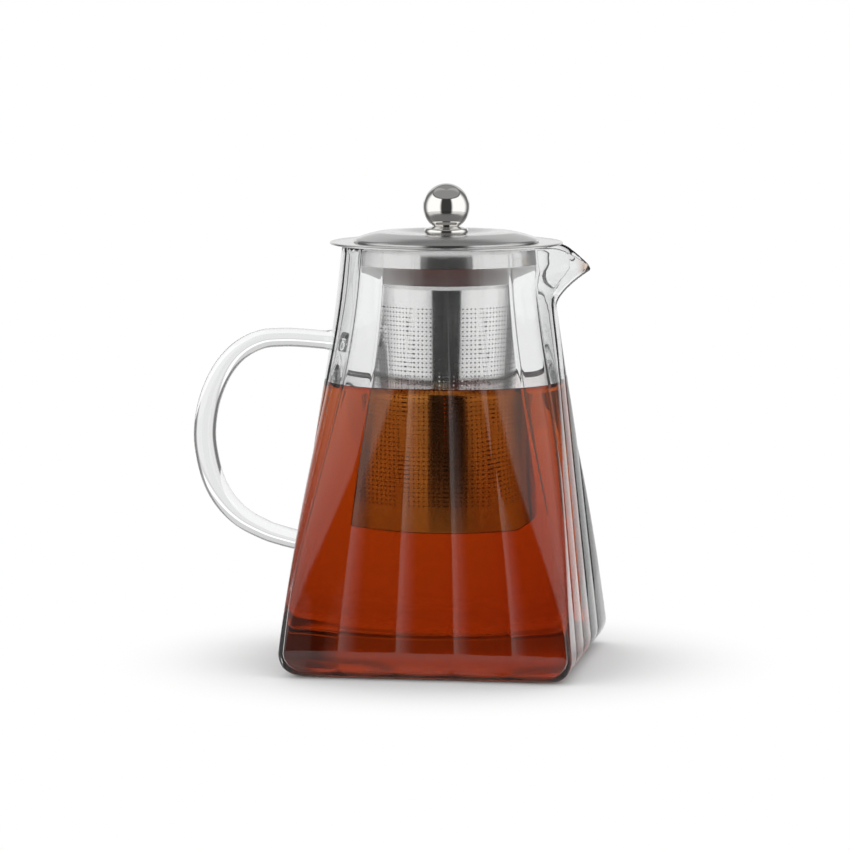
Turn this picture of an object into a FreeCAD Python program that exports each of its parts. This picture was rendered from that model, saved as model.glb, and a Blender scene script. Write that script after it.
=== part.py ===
import FreeCAD, Part
import math
import os
import Sketcher

# A fluted glass teapot with a lift-out steel infuser and a knobbed lid.
# Frame: millimetres, +Z up, origin on the table under the pot's axis.
# The spout points along +X, the handle along -X, a flat face looks along -Y.

DIMENSIONS = {
    # glass pot
    "base_half": 52.5,
    "mouth_radius": 37.7,
    "rim_height": 151.5,
    "widest_height": 9.0,
    "foot_round": 8.5,
    "base_corner_round": 2.5,
    "round_from": 0.92,
    "wall": 2.0,
    "floor": 3.0,
    "flute_depth_base": 0.75,
    "flute_depth_rim": 0.3,
    # pouring lip
    "lip_depth": 22.5,
    "lip_drop": 8.5,
    "lip_reach": 14.3,
    "lip_curve": 1.6,
    "lip_cut_start": 42.4,
    "lip_cut_end": 53.0,
    # glass handle
    "handle_rod_radius": 3.8,
    "handle_drop": 35.1,
    "handle_bend_start": 60.0,
    "handle_shoulder": 79.6,
    "handle_shoulder_share": 0.894,
    "handle_reach": 89.1,
    "handle_reach_share": 0.531,
    "handle_hip": 78.8,
    "handle_hip_share": 0.125,
    "handle_low_bend": 56.0,
    "handle_low_height": 43.0,
    # infuser
    "flange_radius": 42.0,
    "flange_thick": 0.8,
    "collar_radius": 32.7,
    "collar_depth": 7.0,
    "collar_round": 1.8,
    "shoulder_drop": 8.9,
    "neck_drop": 13.7,
    "basket_drop": 14.5,
    "infuser_sheet": 0.6,
    "basket_radius": 24.0,
    "basket_sheet": 0.5,
    "basket_bottom": 49.3,
    "basket_base_thick": 0.6,
    # lid, heights measured up from the top of the flange
    "lid_overhang": 0.6,
    "lid_edge_height": 0.6,
    "lid_shoulder_inset": 0.9,
    "lid_shoulder_height": 1.3,
    "lid_slope_inset": 5.8,
    "lid_slope_height": 2.9,
    "lid_crown_inset": 11.3,
    "lid_crown_height": 3.6,
    "lid_dish_radius": 9.0,
    "lid_dish_height": 2.5,
    "lid_sheet": 0.6,
    "skirt_gap": 0.5,
    "skirt_sheet": 0.5,
    "skirt_depth": 8.0,
    # knob
    "ball_radius": 8.45,
    "ball_height": 12.5,
    "ball_seat_height": 5.4,
    "knob_foot_radius": 8.0,
    "knob_foot_bottom_radius": 7.2,
    "knob_neck_radius": 5.35,
    "screw_radius": 2.0,
    "screw_length": 12.0,
    "screw_head_radius": 3.6,
    "screw_head_height": 2.0,
    "washer_radius": 5.0,
    "washer_thick": 0.6,
}

# Heights and radii worked out by the spreadsheet from the sizes above.
DERIVED = {
    "lip_start_height": "rim_height - lip_depth",
    "lip_tip_height": "rim_height - lip_drop",
    "handle_top_height": "rim_height - handle_drop",
    "handle_rise": "handle_top_height - handle_low_height",
    "handle_shoulder_height": "handle_low_height + handle_rise * handle_shoulder_share",
    "handle_reach_height": "handle_low_height + handle_rise * handle_reach_share",
    "handle_hip_height": "handle_low_height + handle_rise * handle_hip_share",
    "flange_top": "rim_height + flange_thick",
    "collar_bore": "collar_radius - infuser_sheet",
    "collar_low": "rim_height - collar_depth",
    "shoulder_radius": "collar_radius - collar_round",
    "shoulder_height": "rim_height - shoulder_drop",
    "shoulder_in_radius": "shoulder_radius - infuser_sheet / 2",
    "shoulder_in_height": "shoulder_height + infuser_sheet",
    "neck_height": "rim_height - neck_drop",
    "neck_in_height": "neck_height + infuser_sheet / 2",
    "basket_top": "rim_height - basket_drop",
    "basket_bore": "basket_radius - basket_sheet",
    "basket_tube_bottom": "basket_bottom + basket_base_thick",
    "basket_tube_length": "basket_top - basket_tube_bottom",
    "lid_radius": "collar_radius + lid_overhang",
    "lid_shoulder_radius": "lid_radius - lid_shoulder_inset",
    "lid_slope_radius": "lid_radius - lid_slope_inset",
    "lid_crown_radius": "lid_radius - lid_crown_inset",
    "lid_edge": "flange_top + lid_edge_height",
    "lid_shoulder": "flange_top + lid_shoulder_height",
    "lid_slope": "flange_top + lid_slope_height",
    "lid_crown": "flange_top + lid_crown_height",
    "lid_dish": "flange_top + lid_dish_height",
    "lid_bore": "lid_radius - lid_sheet",
    "lid_edge_in": "lid_edge - lid_sheet / 2",
    "lid_shoulder_in_radius": "lid_shoulder_radius - lid_sheet / 2",
    "lid_shoulder_in": "lid_shoulder - lid_sheet",
    "lid_slope_in": "lid_slope - lid_sheet",
    "lid_crown_in": "lid_crown - lid_sheet",
    "lid_dish_in": "lid_dish - lid_sheet",
    "lid_fall": "(lid_slope_in - lid_shoulder_in) / (lid_shoulder_in_radius - lid_slope_radius)",
    "skirt_radius": "collar_bore - skirt_gap",
    "skirt_bore": "skirt_radius - skirt_sheet",
    "skirt_bottom": "flange_top - skirt_depth",
    "skirt_top_out": "lid_shoulder_in + lid_fall * (lid_shoulder_in_radius - skirt_radius)",
    "skirt_top_in": "lid_shoulder_in + lid_fall * (lid_shoulder_in_radius - skirt_bore)",
    "ball_centre": "flange_top + ball_height",
    "ball_seat": "flange_top + ball_seat_height",
    "foot_swell": "lid_dish + (ball_seat - lid_dish) * 0.22",
    "foot_shoulder": "lid_dish + (ball_seat - lid_dish) * 0.72",
    "foot_shoulder_radius": "knob_neck_radius + (knob_foot_radius - knob_neck_radius) * 0.65",
    "washer_bottom": "lid_dish_in - washer_thick",
    "screw_head_bottom": "washer_bottom - screw_head_height",
}

FLUTES_PER_SIDE = 5
SIDES = 4
LEAST_FLUTE = 0.05


def make_sheet(doc):
    """Put the sizes in a spreadsheet, each under its own alias."""
    sheet = doc.addObject("Spreadsheet::Sheet", "Dimensions")
    row = 1
    for alias, value in DIMENSIONS.items():
        sheet.set("A%d" % row, alias)
        sheet.set("B%d" % row, repr(value))
        sheet.setAlias("B%d" % row, alias)
        row += 1
    for alias, formula in DERIVED.items():
        sheet.set("A%d" % row, alias)
        sheet.set("B%d" % row, "=" + formula)
        sheet.setAlias("B%d" % row, alias)
        row += 1
    doc.recompute()
    return sheet


# ---------------------------------------------------------------- glass pot


def smooth(value):
    """Ease from 0 to 1 with level ends."""
    value = min(max(value, 0.0), 1.0)
    return value * value * (3.0 - 2.0 * value)


def lip_radius(sheet, height, plain_radius):
    """How far the pouring lip stands from the axis at this height."""
    span = sheet.lip_tip_height - sheet.lip_start_height
    rise = (height - sheet.lip_start_height) / span
    if rise <= 0.0:
        return plain_radius
    return plain_radius + sheet.lip_reach * min(rise, 1.0) ** sheet.lip_curve


def wall_point(half, corner, share):
    """Point on the front side of a rounded square, share running 0 to 1."""
    flat = half - corner
    length = 2.0 * flat + corner * math.pi / 2.0
    along = (share - 0.5) * length
    if abs(along) <= flat:
        return along, -half, 0.0, -1.0
    turn = (abs(along) - flat) / corner
    side = math.copysign(1.0, along)
    normal_x = side * math.sin(turn)
    normal_y = -math.cos(turn)
    return side * flat + corner * normal_x, -flat + corner * normal_y, normal_x, normal_y


def pull_to_lip(point, plain_radius, tip_radius):
    """Move a wall point out to the straight sides of the pouring lip."""
    if tip_radius <= plain_radius + 1e-6:
        return point
    spread = math.acos(plain_radius / tip_radius)
    angle = math.atan2(point.y, point.x)
    if abs(angle) >= spread:
        return point
    grow = 1.0 / math.cos(spread - abs(angle))
    return FreeCAD.Vector(point.x * grow, point.y * grow, point.z)


def flute_wire(sheet, height, inset, flute, ease):
    """One level cut through the pot: twenty arcs that meet at the grooves."""
    climb = (height - sheet.widest_height) / (sheet.rim_height - sheet.widest_height)
    climb = max(climb, 0.0)
    half = sheet.base_half + (sheet.mouth_radius - sheet.base_half) * climb
    roundness = smooth(climb / sheet.round_from)
    corner = sheet.base_corner_round + (half - sheet.base_corner_round) * roundness
    half -= inset
    corner = min(max(corner - inset, 0.8), half)
    plain = half
    tip = lip_radius(sheet, height, plain)
    count = 2 * FLUTES_PER_SIDE
    flute = max(flute, LEAST_FLUTE)
    points = []
    for side in range(SIDES):
        turn = FreeCAD.Rotation(FreeCAD.Vector(0, 0, 1), 90.0 * side)
        for step in range(count):
            x, y, nx, ny = wall_point(half, corner, step / count)
            sink = 0.0
            if step % 2 == 0:
                sink = flute * ease if step == 0 else flute
            point = FreeCAD.Vector(x - nx * sink, y - ny * sink, height)
            points.append(pull_to_lip(turn.multVec(point), plain, tip))
    edges = []
    total = len(points)
    for start in range(0, total, 2):
        ends = points[start], points[start + 1], points[(start + 2) % total]
        edges.append(Part.Arc(*ends).toShape())
    return Part.Wire(edges)


def pot_solid(sheet, offset, floor, top, fluted):
    """Solid block bounded by the pot's outer skin, or its inner one."""
    round_radius = sheet.widest_height - floor
    if offset == 0.0:
        round_radius = sheet.foot_round
    centre = sheet.widest_height
    wires = []
    corner_steps = 4
    for step in range(corner_steps):
        swing = math.radians(90.0 * step / corner_steps)
        inset = offset + round_radius * (1.0 - math.sin(swing))
        height = floor + (centre - floor) * (1.0 - math.cos(swing))
        flute = sheet.flute_depth_base * math.sin(swing) if fluted else 0.0
        wires.append(flute_wire(sheet, height, inset, flute, 0.0))
    lip_span = sheet.lip_tip_height - sheet.lip_start_height
    wall_steps = 6
    lip_steps = 4
    levels = []
    for step in range(wall_steps):
        levels.append(centre + (sheet.lip_start_height - centre) * step / wall_steps)
    for step in range(lip_steps + 1):
        levels.append(sheet.lip_start_height + lip_span * step / lip_steps)
    levels.append(top)
    rim_flute = sheet.flute_depth_rim
    for height in levels:
        climb = (height - centre) / (sheet.rim_height - centre)
        flute = sheet.flute_depth_base + (rim_flute - sheet.flute_depth_base) * climb
        flute = flute if fluted else 0.0
        wires.append(flute_wire(sheet, height, offset, flute, climb))
    return Part.makeLoft(wires, True, True)


def make_pot_body(doc, sheet, outer):
    """Blown glass pot: outer skin, less the hollow, less the sloped lip cut."""
    inner = pot_solid(sheet, sheet.wall, sheet.floor, sheet.rim_height + 2.0, False)
    glass = outer.cut(inner)
    run = sheet.lip_cut_end - sheet.lip_cut_start
    drop = sheet.rim_height - sheet.lip_tip_height
    slope = math.degrees(math.atan2(drop, run))
    size = 2.0 * sheet.base_half
    block = Part.makeBox(size, size, size, FreeCAD.Vector(0, -size / 2.0, 0))
    block.Placement = FreeCAD.Placement(
        FreeCAD.Vector(sheet.lip_cut_start, 0, sheet.rim_height),
        FreeCAD.Rotation(FreeCAD.Vector(0, 1, 0), slope),
    )
    body = doc.addObject("Part::Feature", "pot_body")
    body.Shape = glass.cut(block)
    body.Placement = FreeCAD.Placement()
    return body


def make_handle(doc, sheet, outer):
    """Glass rod bent into a D, ground to the wall at both ends."""
    top = sheet.handle_top_height
    low = sheet.handle_low_height
    corners = [
        (-sheet.mouth_radius + sheet.wall, top - 0.4),
        (-sheet.handle_bend_start, top),
        (-sheet.handle_shoulder, sheet.handle_shoulder_height),
        (-sheet.handle_reach, sheet.handle_reach_height),
        (-sheet.handle_hip, sheet.handle_hip_height),
        (-sheet.handle_low_bend, low),
        (-sheet.base_half + 8.0, low - 0.6),
    ]
    path_points = [FreeCAD.Vector(x, 0, z) for x, z in corners]
    curve = Part.BSplineCurve()
    curve.interpolate(path_points)
    path = Part.Wire([curve.toShape()])
    start = curve.value(curve.FirstParameter)
    heading = curve.tangent(curve.FirstParameter)[0]
    ring = Part.Wire([Part.Circle(start, heading, sheet.handle_rod_radius).toShape()])
    rod = path.makePipeShell([ring], True, True)
    handle = doc.addObject("Part::Feature", "handle")
    parts = sorted(rod.cut(outer).Solids, key=lambda solid: solid.Volume)
    handle.Shape = parts[-1]
    handle.Placement = FreeCAD.Placement()
    return handle


# ------------------------------------------------- turned and pressed parts


def find_plane(body, role):
    """The origin plane of a body that plays the given role."""
    return next(item for item in body.Origin.OriginFeatures if item.Role == role)


def make_turned(doc, sheet, label, corners):
    """Body of revolution about Z from a closed outline.

    Each corner is a pair of spreadsheet aliases, one for its radius and
    one for its height.  Every one of them drives a distance in the sketch.
    """
    body = doc.addObject("PartDesign::Body", label)
    body.Label = label
    sketch = body.newObject("Sketcher::SketchObject", label + "_outline")
    sketch.AttachmentSupport = (find_plane(body, "XZ_Plane"), [""])
    sketch.MapMode = "FlatFace"
    rough = [
        FreeCAD.Vector(getattr(sheet, radius), getattr(sheet, height), 0)
        for radius, height in corners
    ]
    count = len(rough)
    for index in range(count):
        sketch.addGeometry(Part.LineSegment(rough[index], rough[(index + 1) % count]), False)
    for index in range(count):
        joined = Sketcher.Constraint("Coincident", index, 2, (index + 1) % count, 1)
        sketch.addConstraint(joined)
    for index, aliases in enumerate(corners):
        for kind, alias in zip(("DistanceX", "DistanceY"), aliases):
            value = getattr(sheet, alias)
            number = sketch.addConstraint(Sketcher.Constraint(kind, -1, 1, index, 1, value))
            sketch.setExpression("Constraints[%d]" % number, "Dimensions." + alias)
    turned = body.newObject("PartDesign::Revolution", label + "_turned")
    turned.Profile = sketch
    turned.ReferenceAxis = (sketch, ["V_Axis"])
    turned.Angle = 360.0
    sketch.Visibility = False
    return body


def make_cylinder(doc, name, radius, length, bottom):
    """Cylinder about Z; radius, length and bottom are spreadsheet formulas."""
    cylinder = doc.addObject("Part::Cylinder", name)
    cylinder.setExpression("Radius", radius)
    cylinder.setExpression("Height", length)
    cylinder.setExpression("Placement.Base.z", bottom)
    return cylinder


def make_cut(doc, label, base, tool):
    """One solid less another."""
    cut = doc.addObject("Part::Cut", label)
    cut.Base = base
    cut.Tool = tool
    return cut


def make_infuser_collar(doc, sheet):
    """Pressed rim, straight collar and sloped shoulder in one sheet."""
    outline = [
        ("flange_radius", "flange_top"),
        ("flange_radius", "rim_height"),
        ("collar_radius", "rim_height"),
        ("collar_radius", "collar_low"),
        ("shoulder_radius", "shoulder_height"),
        ("basket_radius", "neck_height"),
        ("basket_radius", "basket_top"),
        ("basket_bore", "basket_top"),
        ("basket_bore", "neck_in_height"),
        ("shoulder_in_radius", "shoulder_in_height"),
        ("collar_bore", "collar_low"),
        ("collar_bore", "flange_top"),
    ]
    return make_turned(doc, sheet, "infuser_collar", outline)


def make_infuser_basket(doc):
    """Straight tube that holds the leaves; its holes are not modelled here."""
    length = "Dimensions.basket_tube_length"
    bottom = "Dimensions.basket_tube_bottom"
    tube = make_cylinder(doc, "basket_tube", "Dimensions.basket_radius", length, bottom)
    hollow = make_cylinder(doc, "basket_hollow", "Dimensions.basket_bore", length, bottom)
    return make_cut(doc, "infuser_basket", tube, hollow)


def make_infuser_base(doc):
    """Flat disc that closes the bottom of the tube."""
    return make_cylinder(
        doc,
        "infuser_base",
        "Dimensions.basket_radius",
        "Dimensions.basket_base_thick",
        "Dimensions.basket_bottom",
    )


def make_lid_dome(doc, sheet):
    """Low pressed dome, slightly dished where the knob sits."""
    outline = [
        ("screw_radius", "lid_dish"),
        ("lid_dish_radius", "lid_dish"),
        ("lid_crown_radius", "lid_crown"),
        ("lid_slope_radius", "lid_slope"),
        ("lid_shoulder_radius", "lid_shoulder"),
        ("lid_radius", "lid_edge"),
        ("lid_radius", "flange_top"),
        ("lid_bore", "flange_top"),
        ("lid_bore", "lid_edge_in"),
        ("lid_shoulder_in_radius", "lid_shoulder_in"),
        ("lid_slope_radius", "lid_slope_in"),
        ("lid_crown_radius", "lid_crown_in"),
        ("lid_dish_radius", "lid_dish_in"),
        ("screw_radius", "lid_dish_in"),
    ]
    return make_turned(doc, sheet, "lid_dome", outline)


def make_lid_skirt(doc, sheet):
    """Ring under the dome that drops inside the collar."""
    outline = [
        ("skirt_radius", "skirt_top_out"),
        ("skirt_radius", "skirt_bottom"),
        ("skirt_bore", "skirt_bottom"),
        ("skirt_bore", "skirt_top_in"),
    ]
    return make_turned(doc, sheet, "lid_skirt", outline)


def make_knob_foot(doc, sheet):
    """Swelling bead between the lid and the ball."""
    outline = [
        ("screw_radius", "lid_dish"),
        ("knob_foot_bottom_radius", "lid_dish"),
        ("knob_foot_radius", "foot_swell"),
        ("foot_shoulder_radius", "foot_shoulder"),
        ("knob_neck_radius", "ball_seat"),
        ("screw_radius", "ball_seat"),
    ]
    return make_turned(doc, sheet, "knob_foot", outline)


def make_knob_ball(doc):
    """Ball with a flat seat and a blind hole for the screw."""
    ball = doc.addObject("Part::Sphere", "ball")
    ball.setExpression("Radius", "Dimensions.ball_radius")
    ball.setExpression("Placement.Base.z", "Dimensions.ball_centre")
    waste = make_cylinder(
        doc,
        "ball_flat",
        "Dimensions.ball_radius",
        "Dimensions.ball_seat_height",
        "Dimensions.flange_top",
    )
    seated = make_cut(doc, "ball_seated", ball, waste)
    hole = make_cylinder(
        doc,
        "ball_hole",
        "Dimensions.screw_radius",
        "Dimensions.screw_length",
        "Dimensions.washer_bottom",
    )
    return make_cut(doc, "knob_ball", seated, hole)


def make_knob_washer(doc):
    """Plain washer under the dome."""
    bottom = "Dimensions.washer_bottom"
    thick = "Dimensions.washer_thick"
    disc = make_cylinder(doc, "washer_disc", "Dimensions.washer_radius", thick, bottom)
    hole = make_cylinder(doc, "washer_hole", "Dimensions.screw_radius", thick, bottom)
    return make_cut(doc, "knob_washer", disc, hole)


def make_knob_screw(doc):
    """Screw that pulls the ball, the foot and the dome together."""
    shank = make_cylinder(
        doc,
        "screw_shank",
        "Dimensions.screw_radius",
        "Dimensions.screw_length",
        "Dimensions.washer_bottom",
    )
    head = make_cylinder(
        doc,
        "screw_head",
        "Dimensions.screw_head_radius",
        "Dimensions.screw_head_height",
        "Dimensions.screw_head_bottom",
    )
    screw = doc.addObject("Part::Fuse", "knob_screw")
    screw.Base = head
    screw.Tool = shank
    return screw


def check(doc, nodes):
    """Stop if any object failed or any sub-part is not one sound solid."""
    for item in doc.Objects:
        if "Invalid" in item.State or "Error" in item.State:
            raise RuntimeError("%s did not compute: %s" % (item.Name, item.State))
    for node in nodes:
        shape = node.Shape
        if shape.isNull() or not shape.isValid():
            raise RuntimeError("%s has no valid shape" % node.Label)
        if len(shape.Solids) != 1:
            raise RuntimeError("%s has %d solids" % (node.Label, len(shape.Solids)))


def main():
    doc = FreeCAD.newDocument("glass_teapot")
    sheet = make_sheet(doc)
    outer = pot_solid(sheet, 0.0, 0.0, sheet.rim_height, True)
    nodes = [
        make_pot_body(doc, sheet, outer),
        make_handle(doc, sheet, outer),
        make_infuser_collar(doc, sheet),
        make_infuser_basket(doc),
        make_infuser_base(doc),
        make_lid_dome(doc, sheet),
        make_lid_skirt(doc, sheet),
        make_knob_foot(doc, sheet),
        make_knob_ball(doc),
        make_knob_washer(doc),
        make_knob_screw(doc),
    ]
    doc.recompute()
    check(doc, nodes)
    os.makedirs("parts", exist_ok=True)
    for node in nodes:
        node.Shape.exportStep("parts/%s.step" % node.Label)
        print("%s %.1f mm3" % (node.Label, node.Shape.Volume))


main()
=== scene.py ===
import math

import bmesh
import bpy
from mathutils import Matrix, Vector


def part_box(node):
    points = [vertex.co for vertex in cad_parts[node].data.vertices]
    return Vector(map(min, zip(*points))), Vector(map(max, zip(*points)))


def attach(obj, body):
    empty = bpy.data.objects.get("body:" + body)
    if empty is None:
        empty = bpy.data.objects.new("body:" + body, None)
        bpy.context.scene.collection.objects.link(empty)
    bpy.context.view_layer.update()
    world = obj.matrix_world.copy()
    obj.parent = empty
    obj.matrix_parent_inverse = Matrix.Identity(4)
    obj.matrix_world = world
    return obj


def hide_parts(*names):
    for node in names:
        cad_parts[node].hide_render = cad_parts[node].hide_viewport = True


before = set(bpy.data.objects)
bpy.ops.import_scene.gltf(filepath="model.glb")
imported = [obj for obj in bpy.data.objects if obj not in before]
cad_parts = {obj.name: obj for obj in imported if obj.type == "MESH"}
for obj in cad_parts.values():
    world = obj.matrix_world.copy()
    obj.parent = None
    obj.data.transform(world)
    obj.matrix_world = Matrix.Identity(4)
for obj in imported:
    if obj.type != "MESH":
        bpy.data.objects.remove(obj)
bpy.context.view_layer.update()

MM = 0.001

# Places read from the frame. All sizes here are in millimetres.
POT_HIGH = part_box("pot_body")[1] / MM
BASKET_LOW, BASKET_HIGH = (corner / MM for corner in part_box("infuser_basket"))
BASE_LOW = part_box("infuser_base")[0] / MM
BALL_LOW, BALL_HIGH = (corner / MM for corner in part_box("knob_ball"))
KNOB_FOOT_LOW, KNOB_FOOT_HIGH = (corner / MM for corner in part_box("knob_foot"))
RIM = POT_HIGH.z
FLANGE_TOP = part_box("infuser_collar")[1].z / MM

# The glass pot: a square foot that rises to a round mouth.
BASE_HALF = POT_HIGH.y
MOUTH_RADIUS = 37.7
WIDEST = 9.0
FOOT_ROUND = 8.5
BASE_CORNER = 2.5
ROUND_FROM = 0.92
WALL = 2.0
FLOOR = 3.0
RIM_ROLL = 0.8

# The pouring lip, drawn out of the +X wall and cut at a slope.
LIP_START = RIM - 22.5
LIP_TIP = RIM - 8.5
LIP_REACH = 14.3
LIP_CURVE = 1.6
LIP_CUT_START = 42.4
LIP_CUT_SLOPE = 8.5 / 10.6
LIP_CUT_EASE = 2.4

# Hollow flutes in the outside of the wall, with a fine line between two.
FLUTES_PER_SIDE = 5
FLUTE_AT_BASE = 0.75
FLUTE_AT_RIM = 0.3
CREASE_DEPTH = 0.16
CREASE_SHARE = 0.07
CORNER_BEAD = 0.4
POINTS_PER_FLUTE = 16
POINTS_PER_SIDE = FLUTES_PER_SIDE * POINTS_PER_FLUTE
POINTS_PER_RING = 4 * POINTS_PER_SIDE
RINGS_IN_FOOT = 10

# The tea reaches a little into the glass, so that no air lies between them.
TEA_LEVEL = 102.7
TEA_SINK = 0.15

# The steel infuser and the knob.
COLLAR_BORE = 32.1
COLLAR_OUTSIDE = 32.7
SHOULDER_TOP = RIM - 8.9
SLEEVE_OUTSIDE = 24.0
SHEET = 0.5
SIEVE_LOW = 58.3
SIEVE_HIGH = 130.4
SIEVE_COLUMNS = 58
SIEVE_ROWS = 45
HOLE = 0.55
BALL_CENTRE = FLANGE_TOP + 12.5
BALL_FLAT = FLANGE_TOP + 5.4
TURNING_STEPS = 144
TURNING_CREASE = 35.0
BALL_CREASE = 40.0


# ------------------------------------------------------------ shader tools


class Flow:
    """A number in a node tree. Sums and products on it add Math nodes."""

    def __init__(self, recipe, socket):
        self.recipe = recipe
        self.socket = socket

    def math(self, operation, *others):
        values = [self, *others]
        node = self.recipe.node(
            "ShaderNodeMath", {"operation": operation}, dict(enumerate(values))
        )
        return Flow(self.recipe, node.outputs[0])

    def flipped(self, operation, other):
        node = self.recipe.node(
            "ShaderNodeMath", {"operation": operation}, {0: other, 1: self}
        )
        return Flow(self.recipe, node.outputs[0])

    def __add__(self, other):
        return self.math("ADD", other)

    __radd__ = __add__

    def __sub__(self, other):
        return self.math("SUBTRACT", other)

    def __rsub__(self, other):
        return self.flipped("SUBTRACT", other)

    def __mul__(self, other):
        return self.math("MULTIPLY", other)

    __rmul__ = __mul__

    def __truediv__(self, other):
        return self.math("DIVIDE", other)

    def __rtruediv__(self, other):
        return self.flipped("DIVIDE", other)

    def rises(self, start, stop):
        """0 below start, 1 above stop, eased between them."""
        node = self.recipe.node(
            "ShaderNodeMapRange",
            {"interpolation_type": "SMOOTHSTEP"},
            {0: self, 1: start, 2: stop},
        )
        return Flow(self.recipe, node.outputs[0])


class Recipe:
    """A node tree that is filled one node at a time."""

    def __init__(self, tree):
        self.tree = tree
        tree.nodes.clear()

    def node(self, kind, settings=None, sockets=None):
        made = self.tree.nodes.new(kind)
        for key, value in (settings or {}).items():
            setattr(made, key, value)
        for key, value in (sockets or {}).items():
            socket = made.inputs[key]
            if isinstance(value, Flow):
                value = value.socket
            if isinstance(value, bpy.types.NodeSocket):
                self.tree.links.new(value, socket)
            else:
                socket.default_value = value
        return made

    def number(self, socket):
        return Flow(self, socket)

    def parts(self, vector):
        """The three numbers of a vector socket."""
        split = self.node("ShaderNodeSeparateXYZ", None, {0: vector})
        return [Flow(self, part) for part in split.outputs]

    def place(self):
        """Object coordinates as a vector socket and its three numbers."""
        where = self.node("ShaderNodeTexCoord").outputs["Object"]
        return where, self.parts(where)

    def away(self, x, y):
        """Distance from the pot's upright axis."""
        return (x * x + y * y).math("SQRT")

    def vector(self, x, y, z):
        made = self.node("ShaderNodeCombineXYZ", None, {0: x, 1: y, 2: z})
        return made.outputs[0]

    def noise(self, where, scale, detail=2.0, rough=0.5):
        made = self.node(
            "ShaderNodeTexNoise",
            None,
            {"Vector": where, "Scale": scale, "Detail": detail, "Roughness": rough},
        )
        return Flow(self, made.outputs[0])

    def bump(self, height, strength, distance):
        made = self.node(
            "ShaderNodeBump",
            None,
            {"Height": height, "Strength": strength, "Distance": distance},
        )
        return made.outputs[0]

    def colours(self, share, first, second):
        made = self.node(
            "ShaderNodeMix", {"data_type": "RGBA"}, {0: share, 6: first, 7: second}
        )
        return made.outputs[2]

    def principled(self, **sockets):
        """A Principled shader; Base_Color stands for the socket Base Color."""
        named = {key.replace("_", " "): value for key, value in sockets.items()}
        return self.node("ShaderNodeBsdfPrincipled", None, named).outputs[0]

    def emission(self, colour, strength):
        made = self.node("ShaderNodeEmission", None, {"Color": colour, "Strength": strength})
        return made.outputs[0]

    def blend(self, share, first, second):
        made = self.node("ShaderNodeMixShader", None, {0: share, 1: first, 2: second})
        return made.outputs[0]

    def finish(self, surface, volume=None):
        out = self.node("ShaderNodeOutputMaterial", None, {"Surface": surface})
        if volume is not None:
            self.tree.links.new(volume, out.inputs["Volume"])


def new_recipe(name):
    material = bpy.data.materials.new(name)
    material.use_nodes = True
    return material, Recipe(material.node_tree)


def grey(value):
    return (value, value, value, 1.0)


def clear_glass(name, gleam):
    """Blown borosilicate glass: clear, glossy, very slightly uneven.

    The glass is tinted brown towards the pouring tip. The gleam is 1 where
    air meets the glass and 0 where tea wets it.
    """
    material, recipe = new_recipe(name)
    where, (x, _, z) = recipe.place()
    ripple = recipe.noise(where, 45.0, 1.0)
    # The glass is tinted brown towards the pouring tip.
    brown_tip = x.rises(47.0 * MM, 52.5 * MM) * z.rises((LIP_TIP - 4.5) * MM, LIP_TIP * MM)
    shader = recipe.principled(
        Base_Color=recipe.colours(brown_tip, (0.985, 0.99, 0.99, 1.0), (0.60, 0.45, 0.35, 1.0)),
        Roughness=0.0,
        IOR=1.47,
        Transmission_Weight=1.0,
        Specular_Tint=grey(gleam),
        Normal=recipe.bump(ripple, 0.03, 0.001),
    )
    recipe.finish(shader)
    return material


def black_tea():
    """Clear red-brown tea that fills the pot up to its level.

    The front and back walls bend light as a round wall does: their normal
    points away from the axis and keeps the wall's own tilt.
    """
    material, recipe = new_recipe("black_tea")
    _, (x, y, _) = recipe.place()
    geometry = recipe.node("ShaderNodeNewGeometry").outputs
    sideways, frontways, tilt = recipe.parts(geometry["Normal"])
    side_wall = (sideways.math("ABSOLUTE") - frontways.math("ABSOLUTE")).rises(-0.1, 0.1)
    reach = (x * x + y * y + 1e-8).math("SQRT")
    outwards = 1 - 2 * recipe.number(geometry["Backfacing"])
    level_part = (1 - tilt * tilt).math("MAXIMUM", 0.0).math("SQRT") * outwards / reach
    rounded = recipe.vector(x * level_part, y * level_part, tilt)
    normal = recipe.node(
        "ShaderNodeMix",
        {"data_type": "VECTOR"},
        {0: side_wall, 4: rounded, 5: geometry["Normal"]},
    )
    shader = recipe.principled(
        Base_Color=grey(1.0),
        Roughness=0.0,
        IOR=1.33,
        Transmission_Weight=1.0,
        Specular_Tint=grey(0.0),
        Normal=normal.outputs[1],
    )
    soak = recipe.node(
        "ShaderNodeVolumeAbsorption",
        None,
        {"Color": (0.84, 0.535, 0.0, 1.0), "Density": 82.0},
    )
    recipe.finish(shader, soak.outputs[0])
    return material


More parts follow.
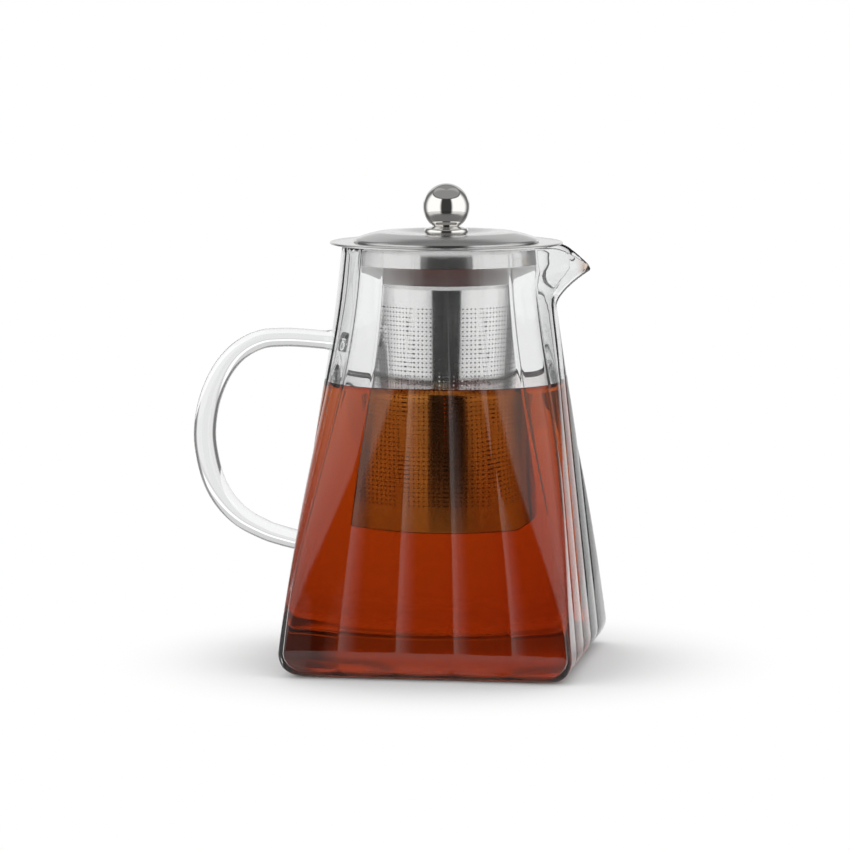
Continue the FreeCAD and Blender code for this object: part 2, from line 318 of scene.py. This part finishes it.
def brushed_steel(name, tone, rough, grain, stain_and_shade=0.0):
    """Stainless sheet with fine turning lines that run round the axis.

    The collar's shoulder is satin. Below the tea line the steel is browned:
    partly a tea stain, partly painted shade that darkens the sieve seen in the tea.
    """
    material, recipe = new_recipe(name)
    where, (x, y, z) = recipe.place()
    lines = recipe.noise(recipe.vector(recipe.away(x, y), 0.0, z), 5200.0, 2.0, 0.7)
    cloud = recipe.noise(where, 60.0, 3.0)
    shade = recipe.colours(
        cloud,
        (tone * 0.93, tone * 0.92, tone * 0.91, 1.0),
        (tone * 1.05, tone * 1.05, tone * 1.04, 1.0),
    )
    # Painted shade and stain: the steel below the tea line is darkened brown, partly a tea stain
    # and partly shade standing in for the darkening by the tea.
    if stain_and_shade:
        edge = recipe.noise(where, 110.0, 3.0) * 3.0 * MM
        below_tea_line = 1 - (z + edge).rises((TEA_LEVEL - 7.0) * MM, (TEA_LEVEL + 1.5) * MM)
        patchy_stain_and_shade = below_tea_line * (0.85 + 0.3 * cloud)
        shade = recipe.colours(stain_and_shade * patchy_stain_and_shade, shade, (0.22, 0.125, 0.08, 1.0))
    satin = z.rises((RIM - 14.5) * MM, (RIM - 13.2) * MM)
    satin = satin * (1 - z.rises((RIM - 7.6) * MM, (RIM - 6.8) * MM))
    shader = recipe.principled(
        Base_Color=shade,
        Metallic=1.0,
        Roughness=rough + 0.25 * satin + 0.10 * (lines - 0.5) + 0.05 * (cloud - 0.5),
        Normal=recipe.bump(lines, grain, 0.0001),
    )
    recipe.finish(shader)
    return material


def polished_steel():
    """Mirror-polished stainless with faint handling haze."""
    material, recipe = new_recipe("polished_steel")
    where, _ = recipe.place()
    haze = recipe.noise(where, 240.0, 4.0)
    shader = recipe.principled(
        Base_Color=(0.80, 0.79, 0.77, 1.0),
        Metallic=1.0,
        Roughness=0.03 + 0.04 * haze,
    )
    recipe.finish(shader)
    return material


def pale_floor():
    """Matt white table that fades into plain white away from the pot.

    A painted pool of warm light glows in the patch under the pot. It stands in for
    light that has come through the tea.
    """
    material, recipe = new_recipe("pale_floor")
    where, (x, y, _) = recipe.place()
    grain = recipe.noise(where, 30.0, 3.0)
    board = recipe.principled(
        Base_Color=recipe.colours(grain, grey(0.80), grey(0.82)),
        Roughness=0.9,
    )
    square_reach = x.math("ABSOLUTE").math("MAXIMUM", y.math("ABSOLUTE"))
    # Painted light: a warm glow in the square under the pot stands in for light that has come
    # through the tea.
    under = 1 - square_reach.rises(34.0 * MM, 44.0 * MM)
    board = recipe.blend(0.7 * under, board, recipe.emission((1.0, 0.72, 0.36, 1.0), 1.1))
    faded = recipe.away(x, y).rises(58.0 * MM, 125.0 * MM)
    recipe.finish(recipe.blend(faded, board, recipe.emission(grey(1.0), 1.0)))
    return material


# -------------------------------------------------------------- mesh tools


def ease(value):
    """0 to 1 with a soft start and a soft end."""
    value = min(max(value, 0.0), 1.0)
    return value * value * (3.0 - 2.0 * value)


def add_piece(name, bm, body, material, crease=None):
    """Turn a finished bmesh into a smooth-shaded piece riding on a body."""
    mesh = bpy.data.meshes.new(name)
    bm.to_mesh(mesh)
    bm.free()
    for face in mesh.polygons:
        face.use_smooth = True
    if crease is not None:
        mesh.set_sharp_from_angle(angle=math.radians(crease))
    piece = bpy.data.objects.new(name, mesh)
    bpy.context.scene.collection.objects.link(piece)
    mesh.materials.append(material)
    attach(piece, body)
    return piece


def arc(centre_radius, centre_height, radius, start, stop, count):
    """Points of an arc in the (radius, height) plane, angles in degrees."""
    points = []
    for step in range(count + 1):
        angle = math.radians(start + (stop - start) * step / count)
        points.append(
            (centre_radius + radius * math.cos(angle), centre_height + radius * math.sin(angle))
        )
    return points


def turned(name, outline, body, material):
    """Piece of revolution from a closed outline of (radius, height) in mm."""
    bm = bmesh.new()
    verts = [bm.verts.new((radius * MM, 0.0, height * MM)) for radius, height in outline]
    edges = [bm.edges.new((a, b)) for a, b in zip(verts, verts[1:] + verts[:1])]
    bmesh.ops.spin(
        bm,
        geom=verts + edges,
        cent=(0, 0, 0),
        axis=(0, 0, 1),
        angle=2 * math.pi,
        steps=TURNING_STEPS,
        use_merge=True,
    )
    bmesh.ops.remove_doubles(bm, verts=bm.verts[:], dist=1e-6)
    bmesh.ops.recalc_face_normals(bm, faces=bm.faces[:])
    return add_piece(name, bm, body, material, TURNING_CREASE)


def ringed(name, rings, body, material):
    """Closed skin through rings of equal counts, its two ends filled."""
    bm = bmesh.new()
    count = len(rings[0])
    made = bmesh.ops.create_circle(bm, cap_ends=True, segments=count, radius=MM)
    ring = made["verts"]
    for vert, point in zip(ring, rings[0]):
        vert.co = point
    edges = [bm.edges.get((a, b)) for a, b in zip(ring, ring[1:] + ring[:1])]
    for points in rings[1:]:
        grown = bmesh.ops.extrude_edge_only(bm, edges=edges)["geom"]
        fresh = {item for item in grown if isinstance(item, bmesh.types.BMVert)}
        above = []
        for vert in ring:
            above.append(
                next(e.other_vert(vert) for e in vert.link_edges if e.other_vert(vert) in fresh)
            )
        for vert, point in zip(above, points):
            vert.co = point
        ring = above
        edges = [bm.edges.get((a, b)) for a, b in zip(ring, ring[1:] + ring[:1])]
    bm.faces.new(ring)
    bmesh.ops.recalc_face_normals(bm, faces=bm.faces[:])
    return add_piece(name, bm, body, material)


# --------------------------------------------------------------- pot glass


def half_width(height):
    """Share climbed, half the width and the corner radius at a height."""
    climb = max((height - WIDEST) / (RIM - WIDEST), 0.0)
    half = BASE_HALF + (MOUTH_RADIUS - BASE_HALF) * climb
    corner = BASE_CORNER + (half - BASE_CORNER) * ease(climb / ROUND_FROM)
    return climb, half, corner


def wall_point(half, corner, share):
    """Point and outward direction on one rounded side, share 0 to 1."""
    flat = half - corner
    along = (share - 0.5) * (2.0 * flat + corner * math.pi / 2.0)
    if abs(along) <= flat:
        return along, -half, 0.0, -1.0
    turn = (abs(along) - flat) / corner
    side = math.copysign(1.0, along)
    out_x, out_y = side * math.sin(turn), -math.cos(turn)
    return side * flat + corner * out_x, -flat + corner * out_y, out_x, out_y


def flute_depth(place, across, climb, flute):
    """How far one point of a side lies inside the plain wall."""
    depth = flute * (1.0 - 4.0 * across * (1.0 - across))
    half_flute = POINTS_PER_FLUTE / 2
    by_corner = place < half_flute or place > POINTS_PER_SIDE - half_flute
    if by_corner:
        depth *= climb
    edge = min(across, 1.0 - across)
    if flute > 0.0 and edge < CREASE_SHARE:
        relief = -CORNER_BEAD * min(climb * 6.0, 1.0) if by_corner else CREASE_DEPTH
        depth += relief * (1.0 - edge / CREASE_SHARE) ** 2
    return depth


def skin_point(step, height, inset, flute):
    """One point of the wall at a height, in millimetres."""
    side, place = divmod(step, POINTS_PER_SIDE)
    flute_number, within = divmod(place, POINTS_PER_FLUTE)
    across = 0.5 - 0.5 * math.cos(math.pi * within / POINTS_PER_FLUTE)
    across = 0.55 * across + 0.45 * within / POINTS_PER_FLUTE
    climb, half, corner = half_width(height)
    plain = half - inset
    rounding = min(max(corner - inset, 0.8), plain)
    x, y, out_x, out_y = wall_point(plain, rounding, (flute_number + across) / FLUTES_PER_SIDE)
    depth = flute_depth(place, across, climb, flute)
    x, y = x - out_x * depth, y - out_y * depth
    turn = math.radians(90.0 * side)
    x, y = x * math.cos(turn) - y * math.sin(turn), x * math.sin(turn) + y * math.cos(turn)
    rise = (height - LIP_START) / (LIP_TIP - LIP_START)
    tip = plain + LIP_REACH * min(max(rise, 0.0), 1.0) ** LIP_CURVE
    spread = math.acos(plain / tip)
    angle = math.atan2(y, x)
    if abs(angle) < spread:
        grow = 1.0 / math.cos(spread - abs(angle))
        x, y = x * grow, y * grow
    return x, y


def lip_fall(x):
    """Drop of the rim towards the pouring tip, and its slope there."""
    past = x - LIP_CUT_START
    bend = math.hypot(past, LIP_CUT_EASE)
    return (past + bend) / 2.0 * LIP_CUT_SLOPE, (1.0 + past / bend) / 2.0 * LIP_CUT_SLOPE


def column_top(step, inset):
    """Height where the sloped lip cut ends this column of the wall."""
    low, high = LIP_START, RIM
    for _ in range(24):
        middle = (low + high) / 2.0
        x, _ = skin_point(step, middle, inset, 0.0)
        if middle > RIM - lip_fall(x)[0]:
            high = middle
        else:
            low = middle
    return high


def around_pot(height, inset, flute, tops=None):
    """One ring of the wall; tops squeezes the lip part of each column."""
    ring = []
    for step in range(POINTS_PER_RING):
        level = height
        if tops is not None and height > LIP_START:
            share = (height - LIP_START) / (RIM - LIP_START)
            level = LIP_START + (tops[step] - LIP_START) * share
        x, y = skin_point(step, level, inset, flute)
        ring.append(Vector((x, y, level)) * MM)
    return ring


def drawn_in(ring, share):
    """The same ring, smaller, at the same height."""
    return [Vector((point.x * share, point.y * share, point.z)) for point in ring]


def foot_rings(offset, floor, fluted):
    """Rings from the middle of the flat underside out and up the rounded foot."""
    radius = FOOT_ROUND if offset == 0.0 else WIDEST - floor
    rings = []
    for step in range(RINGS_IN_FOOT):
        swing = math.radians(90.0 * step / RINGS_IN_FOOT)
        inset = offset + radius * (1.0 - math.sin(swing))
        height = floor + (WIDEST - floor) * (1.0 - math.cos(swing))
        flute = FLUTE_AT_BASE * math.sin(swing) if fluted else 0.0
        rings.append(around_pot(height, inset, flute))
    return [drawn_in(rings[0], share) for share in (0.15, 0.5, 0.85)] + rings


def flute_at(height):
    """Depth of the flutes at a height: they fade towards the rim."""
    climb = half_width(height)[0]
    return FLUTE_AT_BASE + (FLUTE_AT_RIM - FLUTE_AT_BASE) * climb


def wall_rings(offset, top, fluted, count=56, tops=None):
    """Rings from the widest height of the wall to its top."""
    rings = []
    for step in range(count + 1):
        height = WIDEST + (top - WIDEST) * step / count
        flute = flute_at(height) if fluted else 0.0
        rings.append(around_pot(height, offset, flute, tops))
    return rings


def rim_rings(outer, inner):
    """Rolled edge between the outer and inner wall, square to the lip cut."""
    rings = []
    for share in (0.15, 0.5, 0.85):
        lift = RIM_ROLL * math.sqrt(1.0 - (2.0 * share - 1.0) ** 2)
        ring = []
        for outside, inside in zip(outer, inner):
            point = outside.lerp(inside, share)
            lean = math.atan(lip_fall(point.x / MM)[1])
            ring.append(point + Vector((math.sin(lean), 0, math.cos(lean))) * lift * MM)
        rings.append(ring)
    return rings


def make_pot(glass, wet_glass):
    """Blown pot as one closed skin; the upright inside under the tea is wet."""
    top = RIM - RIM_ROLL
    outer_tops = [column_top(step, 0.0) for step in range(POINTS_PER_RING)]
    inner_tops = [column_top(step, WALL) for step in range(POINTS_PER_RING)]
    outer = foot_rings(0.0, 0.0, True) + wall_rings(0.0, top, True, tops=outer_tops)
    inner = foot_rings(WALL, FLOOR, False) + wall_rings(WALL, top, False, tops=inner_tops)
    lip = rim_rings(outer[-1], inner[-1])
    pot = ringed("glass_pot", outer + lip + inner[::-1], "pot", glass)
    pot.data.materials.append(wet_glass)
    first_inner = (len(outer) + len(lip)) * POINTS_PER_RING
    for face in pot.data.polygons:
        inside = min(face.vertices) >= first_inner
        upright = abs(face.normal.z) < 0.8
        if inside and upright and face.center.z < TEA_LEVEL * MM:
            face.material_index = 1
    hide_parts("pot_body")


def make_tea(tea):
    """The tea as one closed body, its surface curling up at the glass."""
    offset = WALL - TEA_SINK
    rings = foot_rings(offset, FLOOR - TEA_SINK, False)
    rings += wall_rings(offset, TEA_LEVEL, False, count=36)
    for inset, drop in ((0.5, 0.5), (1.2, 0.8), (2.4, 0.98), (5.0, 1.0)):
        rings.append(around_pot(TEA_LEVEL - drop, offset + inset, 0.0))
    rings += [drawn_in(rings[-1], share) for share in (0.7, 0.35, 0.05)]
    ringed("tea", rings, "pot", tea)


# ------------------------------------------------------------ glass handle


def through(stations, per_span):
    """Smooth run of values through given stations."""
    padded = [
        [2 * a - b for a, b in zip(stations[0], stations[1])],
        *stations,
        [2 * a - b for a, b in zip(stations[-1], stations[-2])],
    ]
    run = []
    for index in range(1, len(padded) - 2):
        before, start, stop, after = padded[index - 1 : index + 3]
        for step in range(per_span):
            t = step / per_span
            run.append(
                [
                    0.5
                    * (
                        2 * p1
                        + (p2 - p0) * t
                        + (2 * p0 - 5 * p1 + 4 * p2 - p3) * t * t
                        + (3 * p1 - p0 - 3 * p2 + p3) * t**3
                    )
                    for p0, p1, p2, p3 in zip(before, start, stop, after)
                ]
            )
    run.append(list(stations[-1]))
    return run


def make_handle(glass):
    """Rod of clear glass, thinner on top, with a fused ring at each wall."""
    stations = [
        (-41.0, 115.9, 3.55),
        (-42.4, 116.0, 3.75),
        (-44.4, 116.1, 3.4),
        (-47.6, 116.3, 3.36),
        (-52.6, 116.65, 3.38),
        (-59.5, 116.8, 3.42),
        (-68.0, 115.9, 3.5),
        (-76.0, 111.8, 3.6),
        (-82.4, 104.6, 3.75),
        (-87.0, 94.5, 3.95),
        (-89.0, 84.0, 4.1),
        (-88.6, 75.0, 4.15),
        (-86.0, 64.5, 4.1),
        (-81.5, 56.5, 4.0),
        (-75.0, 50.3, 3.85),
        (-66.5, 46.0, 3.7),
        (-60.5, 44.1, 3.65),
        (-56.0, 43.0, 3.62),
        (-53.0, 42.35, 3.65),
        (-50.6, 41.8, 3.8),
        (-48.8, 41.4, 3.9),
    ]
    run = through(stations, 8)
    around = 48
    rings = []
    for index, (x, z, radius) in enumerate(run):
        before, after = run[max(index - 1, 0)], run[min(index + 1, len(run) - 1)]
        heading = Vector((after[0] - before[0], 0.0, after[1] - before[1])).normalized()
        side = Vector((0.0, 1.0, 0.0))
        up = heading.cross(side)
        ring = []
        for step in range(around):
            angle = 2.0 * math.pi * step / around
            offset = side * math.cos(angle) + up * math.sin(angle)
            ring.append((Vector((x, 0.0, z)) + offset * radius) * MM)
        rings.append(ring)
    handle = ringed("glass_handle", rings, "pot", glass)
    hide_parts("handle")


# ---------------------------------------------------------- steel infuser


def make_collar(steel):
    """Spun collar: rolled flange, straight cup and the step to the basket."""
    top = FLANGE_TOP
    outline = arc(41.6, top - 0.4, 0.4, -90, 90, 6)
    outline += [(34.4, top)]
    outline += arc(33.1, top - 1.2, 1.0, 90, 180, 5)[1:]
    outline += [(COLLAR_BORE, RIM - 6.8), (30.6, SHOULDER_TOP + 0.6)]
    outline += [(24.6, RIM - 12.6), (24.0, RIM - 13.5)]
    outline += [(23.4, BASKET_HIGH.z - 1.0), (23.9, BASKET_HIGH.z - 1.0)]
    outline += [(24.4, RIM - 13.7), (25.1, RIM - 13.2), (30.9, SHOULDER_TOP)]
    outline += [(COLLAR_OUTSIDE, RIM - 7.0), (COLLAR_OUTSIDE, RIM - 1.2), (33.3, RIM)]
    collar = turned("steel_collar", outline, "infuser", steel)
    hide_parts("infuser_collar")


def bend_round(bm, radius, middle):
    """Wrap a flat sheet round the axis, its x becoming the way round."""
    for vert in bm.verts:
        angle = vert.co.x / radius + middle
        reach = radius + vert.co.y
        vert.co = Vector((reach * math.sin(angle), -reach * math.cos(angle), vert.co.z))


def perforated_half(name, steel, middle):
    """Half of the sieve: a grid of cells, each punched with a small hole."""
    radius, low, high = SLEEVE_OUTSIDE * MM, SIEVE_LOW * MM, SIEVE_HIGH * MM
    width = math.pi * radius
    bm = bmesh.new()
    bmesh.ops.create_grid(bm, x_segments=SIEVE_COLUMNS, y_segments=SIEVE_ROWS, size=0.5)
    bmesh.ops.scale(bm, vec=(width, high - low, 1.0), verts=bm.verts[:])
    cells = bm.faces[:]
    pitch = min(width / SIEVE_COLUMNS, (high - low) / SIEVE_ROWS)
    margin = (pitch - HOLE * MM) / 2.0
    bmesh.ops.inset_individual(bm, faces=cells, thickness=margin, use_even_offset=True)
    for face in cells:
        middle_height = face.calc_center_median().y
        for vert in face.verts:
            vert.co.y = middle_height + math.copysign(HOLE / 2.0 * MM, vert.co.y - middle_height)
    corners = list({vert for face in cells for vert in face.verts})
    bmesh.ops.bevel(
        bm,
        geom=corners,
        offset=0.29 * HOLE * MM,
        segments=1,
        profile=0.5,
        affect="VERTICES",
        material=-1,
    )
    holes = [face for face in bm.faces if len(face.verts) == 8]
    bmesh.ops.delete(bm, geom=holes, context="FACES")
    for vert in bm.verts:
        vert.co = Vector((vert.co.x, 0.0, (low + high) / 2.0 + vert.co.y))
    bend_round(bm, radius, middle)
    bmesh.ops.remove_doubles(bm, verts=bm.verts[:], dist=1e-6)
    for edge in bm.edges:
        edge.smooth = not edge.is_boundary
    piece = add_piece(name, bm, "infuser", steel)
    wall = piece.modifiers.new("sheet", "SOLIDIFY")
    wall.thickness = SHEET * MM
    wall.offset = -1.0
    return piece


def plain_band(name, steel, low, high):
    """Unpunched part of the sleeve, from one height to another."""
    inside = SLEEVE_OUTSIDE - SHEET
    outline = [(SLEEVE_OUTSIDE, low), (SLEEVE_OUTSIDE, high), (inside, high), (inside, low)]
    turned(name, outline, "infuser", steel)


def make_basket(steel):
    """Punched sieve between two plain bands, closed by a plain base."""
    plain_band("basket_top_band", steel, SIEVE_HIGH, BASKET_HIGH.z)
    plain_band("basket_low_band", steel, BASKET_LOW.z, SIEVE_LOW)
    front = perforated_half("basket_sieve_front", steel, 0.0)
    perforated_half("basket_sieve_back", steel, math.pi)
    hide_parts("infuser_basket")

    low = BASE_LOW.z
    inside = SLEEVE_OUTSIDE - SHEET
    outline = [(0.0, low), (inside, low)]
    outline += arc(inside, low + SHEET, SHEET, -90, 0, 6)[1:]
    outline += [(SLEEVE_OUTSIDE, low + 0.6), (0.0, low + 0.6)]
    base = turned("basket_base", outline, "infuser", steel)
    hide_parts("infuser_base")


# --------------------------------------------------------------- steel lid


def make_dome(steel):
    """Shallow pressed dome with a rolled edge and a slightly dished crown."""
    top = FLANGE_TOP
    stations = [(2.0, 2.5), (9.0, 2.5), (22.0, 3.6), (27.5, 2.9), (32.4, 1.3), (33.3, 0.6)]
    crown = through(stations, 6)
    upper = [(radius, top + height) for radius, height in crown]
    lower = [(radius - 0.25, top + height - 0.6) for radius, height in crown]
    lower[0] = (2.0, lower[0][1])
    outline = upper + [(33.3, top), (32.7, top)] + lower[::-1][1:]
    dome = turned("lid_dome_shell", outline, "lid", steel)
    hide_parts("lid_dome")


def make_knob(polish):
    """Mirror ball, flat where it sits, on a beaded foot."""
    radius = (BALL_HIGH.x - BALL_LOW.x) / 2.0
    bm = bmesh.new()
    bmesh.ops.create_uvsphere(bm, u_segments=96, v_segments=64, radius=radius * MM)
    bmesh.ops.translate(bm, vec=(0, 0, BALL_CENTRE * MM), verts=bm.verts[:])
    cut = bmesh.ops.bisect_plane(
        bm,
        geom=bm.verts[:] + bm.edges[:] + bm.faces[:],
        plane_co=(0, 0, BALL_FLAT * MM),
        plane_no=(0, 0, -1),
        clear_outer=True,
    )
    edge = [item for item in cut["geom_cut"] if isinstance(item, bmesh.types.BMEdge)]
    bmesh.ops.contextual_create(bm, geom=edge)
    bmesh.ops.recalc_face_normals(bm, faces=bm.faces[:])
    ball = add_piece("knob_globe", bm, "lid", polish, BALL_CREASE)
    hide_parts("knob_ball")

    low, high = KNOB_FOOT_LOW.z, KNOB_FOOT_HIGH.z
    bead = arc(6.6, low + 1.25, 1.4, -62, 50, 14)
    neck = [(6.9, high - 0.42), (6.1, high - 0.24), (5.6, high - 0.1), (5.35, high)]
    outline = [(2.0, low)] + bead + neck + [(2.0, high)]
    foot = turned("knob_foot_ring", outline, "lid", polish)
    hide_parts("knob_foot")


# ---------------------------------------------------------------- studio


TABLE_RADIUS = 0.30
TABLE_DROP = 0.1 * MM
CAMERA_TURN = 8.84
HEADING_TURN = 0.2754
CAMERA_DIP = 6.1907
CAMERA_REACH = 1.6
CAMERA_HEIGHT = 0.2593
LENS = 188.344


def make_floor(board):
    bm = bmesh.new()
    bmesh.ops.create_circle(bm, cap_ends=True, segments=96, radius=TABLE_RADIUS)
    mesh = bpy.data.meshes.new("table_top")
    bm.to_mesh(mesh)
    bm.free()
    mesh.materials.append(board)
    mesh.transform(Matrix.Translation((0.0, 0.0, -TABLE_DROP)))
    floor = bpy.data.objects.new("table_top", mesh)
    bpy.context.scene.collection.objects.link(floor)


def make_camera():
    """Long lens from the front, a little to the right and above."""
    turn = math.radians(CAMERA_TURN)
    heading = math.radians(CAMERA_TURN + HEADING_TURN)
    dip = math.radians(CAMERA_DIP)
    data = bpy.data.cameras.new("studio_camera")
    data.sensor_width = 36.0
    data.lens = LENS
    data.clip_start = 0.05
    data.clip_end = 60.0
    camera = bpy.data.objects.new("studio_camera", data)
    across, back = CAMERA_REACH * math.sin(turn), CAMERA_REACH * math.cos(turn)
    camera.location = (across, -back, CAMERA_HEIGHT)
    look = Vector(
        (
            -math.sin(heading) * math.cos(dip),
            math.cos(heading) * math.cos(dip),
            -math.sin(dip),
        )
    )
    camera.rotation_mode = "QUATERNION"
    camera.rotation_quaternion = look.to_track_quat("-Z", "Y")
    bpy.context.scene.collection.objects.link(camera)
    bpy.context.scene.camera = camera


def make_light():
    """Two large soft boxes, a grey ceiling and a white backdrop.

    Sweep is the angle round the pot from the front, the same on both sides,
    and lift is the angle above the table, both in degrees.
    """
    world = bpy.data.worlds.new("studio")
    bpy.context.scene.world = world
    world.use_nodes = True
    recipe = Recipe(world.node_tree)
    x, y, z = recipe.parts(recipe.node("ShaderNodeTexCoord").outputs["Generated"])
    turn = math.radians(CAMERA_TURN)
    toward = x * math.sin(turn) - y * math.cos(turn)
    across = x * math.cos(turn) + y * math.sin(turn)
    sweep = across.math("ABSOLUTE").math("ARCTAN2", toward) * (180.0 / math.pi)
    lift = z.math("ARCSINE") * (180.0 / math.pi)
    boxes = sweep.rises(22.0, 36.0) * (1 - sweep.rises(98.0, 128.0))
    boxes = boxes * (1 - lift.rises(38.0, 42.0))
    ceiling = lift.rises(40.0, 46.0)
    behind = sweep.rises(142.0, 152.0)
    backdrop = behind * (1 - lift.rises(30.0, 45.0))
    ground = 1 - lift.rises(-2.0, 1.0)
    side_gap = sweep.rises(104.0, 128.0) * (1 - behind)
    skirting = backdrop * lift.rises(1.0, 4.0) * (1 - lift.rises(8.0, 11.0))
    level = 0.05 + 0.14 * side_gap + 1.2 * boxes + 0.26 * ceiling + 0.5 * skirting
    level = level + backdrop * (0.62 + 0.18 * ground)
    path = recipe.node("ShaderNodeLightPath").outputs
    straight = recipe.number(path["Is Camera Ray"])
    spread = recipe.number(path["Is Diffuse Ray"])
    level = level * (1 - straight) * (1 - spread) + straight + spread * 1.26
    sky = recipe.node("ShaderNodeBackground", None, {"Color": grey(1.0), "Strength": level})
    recipe.node("ShaderNodeOutputWorld", None, {"Surface": sky.outputs[0]})
    view = bpy.context.scene.view_settings
    view.view_transform = "Standard"
    view.look = "None"


def refinish(node, material):
    """Give a frame part that stays as it is a better material."""
    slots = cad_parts[node].data.materials
    slots.clear()
    slots.append(material)


# ------------------------------------------------------------------ build


glass = clear_glass("clear_glass", 1.0)
wet_glass = clear_glass("wetted_glass", 0.0)
steel = brushed_steel("brushed_steel", 0.60, 0.20, 0.06)
sieve_steel = brushed_steel("sieve_steel", 0.64, 0.15, 0.04, 0.6)
polish = polished_steel()

make_camera()
make_light()
make_floor(pale_floor())
make_pot(glass, wet_glass)
make_tea(black_tea())
make_handle(glass)
make_collar(steel)
make_basket(sieve_steel)
make_dome(steel)
make_knob(polish)

refinish("lid_skirt", steel)
refinish("knob_washer", polish)
refinish("knob_screw", polish)
